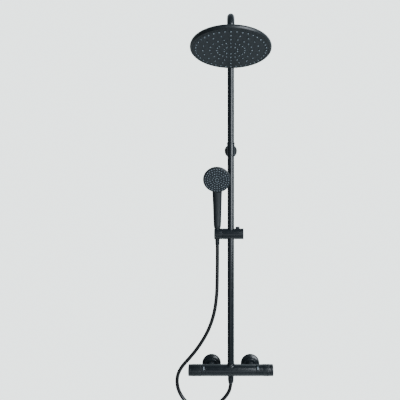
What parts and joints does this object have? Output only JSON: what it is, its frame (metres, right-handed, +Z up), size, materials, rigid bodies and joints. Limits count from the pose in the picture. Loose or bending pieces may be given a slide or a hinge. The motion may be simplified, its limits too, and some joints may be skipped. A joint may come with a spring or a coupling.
{
  "type": "thermostatic shower column",
  "caption": "Black wall-mounted shower column with bar mixer, round overhead shower on a swivel arm, sliding holder, hand shower and hose.",
  "frame": {"origin": "on the finished wall, midway between the two water inlets", "axes": "+X to the right along the wall seen from the room, +Y into the wall, +Z up"},
  "size_m": [0.3677, 0.4512, 1.417],
  "materials": {
    "black_metal": "satin",
    "black_plastic": "satin",
    "face_plastic": "fine matte",
    "hose_plastic": "smooth gloss",
    "nozzle_silicone": "soft matte",
    "pale_mark": "satin",
    "brass": "machined",
    "steel": "brushed",
    "seal_rubber": "matte",
    "white_plastic": "matte"
  },
  "bodies": {
    "column": {"inlet_union_left": "brass", "inlet_union_right": "brass", "rosette_left": "black_metal", "rosette_right": "black_metal", "union_nut_left": "black_metal", "union_nut_right": "black_metal", "filter_washer_left": "seal_rubber", "filter_washer_right": "seal_rubber", "check_valve_left": "white_plastic", "check_valve_right": "white_plastic", "mixer_body": "black_metal", "thermostatic_cartridge": "white_plastic", "diverter_cartridge": "white_plastic", "lower_riser": "black_metal", "coupling_sleeve": "black_metal", "riser_spigot": "brass", "bracket_barrel": "black_metal", "bracket_wall_plate": "steel", "bracket_grub_screw": "steel", "hose_nut_lower": "black_metal", "hose_washer_lower": "seal_rubber", "hose": "hose_plastic"},
    "temperature_control": {"temperature_collar": "black_metal", "temperature_scale_ring": "black_metal", "temperature_knob": "black_metal", "temperature_knob_cap": "black_metal", "temperature_spindle": "brass"},
    "safety_button": {"safety_stop_button": "pale_mark"},
    "flow_control": {"flow_collar": "black_metal", "flow_knob": "black_metal", "flow_knob_cap": "black_metal", "flow_spindle": "brass"},
    "eco_button": {"eco_stop_button": "pale_mark"},
    "arm": {"upper_riser_arm": "black_metal", "arm_ball_stud": "brass"},
    "head_seat": {"ball_seat": "white_plastic"},
    "overhead": {"head_hub": "black_metal", "head_ball_nut": "black_metal", "head_shell": "black_metal", "head_water_disc": "white_plastic", "head_nozzles": "nozzle_silicone", "head_face_plate": "face_plastic"},
    "slider": {"slider_body": "black_metal", "slider_liner": "white_plastic", "brake_shoe": "seal_rubber", "lock_spring": "steel", "holder_pivot_pin": "steel"},
    "slider_button": {"lock_button": "black_metal"},
    "holder": {"holder_socket": "black_metal"},
    "handset": {"handset_shell": "black_plastic", "handset_water_disc": "white_plastic", "handset_nozzles": "nozzle_silicone", "handset_face_plate": "face_plastic"},
    "hose_end": {"hose_cone_nut": "black_metal", "hose_washer_upper": "seal_rubber"}
  },
  "joints": [
    {"name": "temperature_turn", "type": "hinge", "parent": "column", "child": "temperature_control", "pos_m": [0.13, -0.065, 0], "axis": [1, 0, 0], "range_deg": [-160, 60]},
    {"name": "safety_press", "type": "slide", "parent": "temperature_control", "child": "safety_button", "axis": [0, 0.766, -0.6428], "range_m": [0, 0.0012], "stiffness_N_per_m": 900},
    {"name": "flow_turn", "type": "hinge", "parent": "column", "child": "flow_control", "pos_m": [-0.13, -0.065, 0], "axis": [1, 0, 0], "range_deg": [-90, 90]},
    {"name": "eco_press", "type": "slide", "parent": "flow_control", "child": "eco_button", "axis": [0, 0.766, -0.6428], "range_m": [0, 0.0012], "stiffness_N_per_m": 900},
    {"name": "arm_swivel", "type": "hinge", "parent": "column", "child": "arm", "pos_m": [0, -0.065, 0.826], "axis": [0, 0, 1], "range_deg": [-60, 60]},
    {"name": "head_tilt", "type": "hinge", "parent": "arm", "child": "head_seat", "pos_m": [0, -0.3, 1.172], "axis": [1, 0, 0], "range_deg": [-6, 27]},
    {"name": "head_roll", "type": "hinge", "parent": "head_seat", "child": "overhead", "pos_m": [0, -0.3, 1.172], "axis": [0, 0.9816, -0.1908], "range_deg": [-12, 12]},
    {"name": "slider_height", "type": "slide", "parent": "column", "child": "slider", "axis": [0, 0, 1], "range_m": [-0.33, 0.24], "deforming": ["hose"]},
    {"name": "lock_press", "type": "slide", "parent": "slider", "child": "slider_button", "axis": [0, 0, -1], "range_m": [0, 0.0025], "stiffness_N_per_m": 900, "deforming": ["lock_spring"]},
    {"name": "holder_tilt", "type": "hinge", "parent": "slider", "child": "holder", "pos_m": [-0.035, -0.065, 0.5125], "axis": [1, 0, 0], "range_deg": [-5, 25], "deforming": ["hose"]},
    {"name": "handset_lift", "type": "slide", "parent": "holder", "child": "handset", "axis": [0, -0.0523, 0.9986], "range_m": [0, 0.15], "deforming": ["hose"]},
    {"name": "hose_nut_spin", "type": "hinge", "parent": "handset", "child": "hose_end", "pos_m": [-0.0505, -0.065, 0.5125], "axis": [0, -0.0523, 0.9986], "continuous": true}
  ]
}
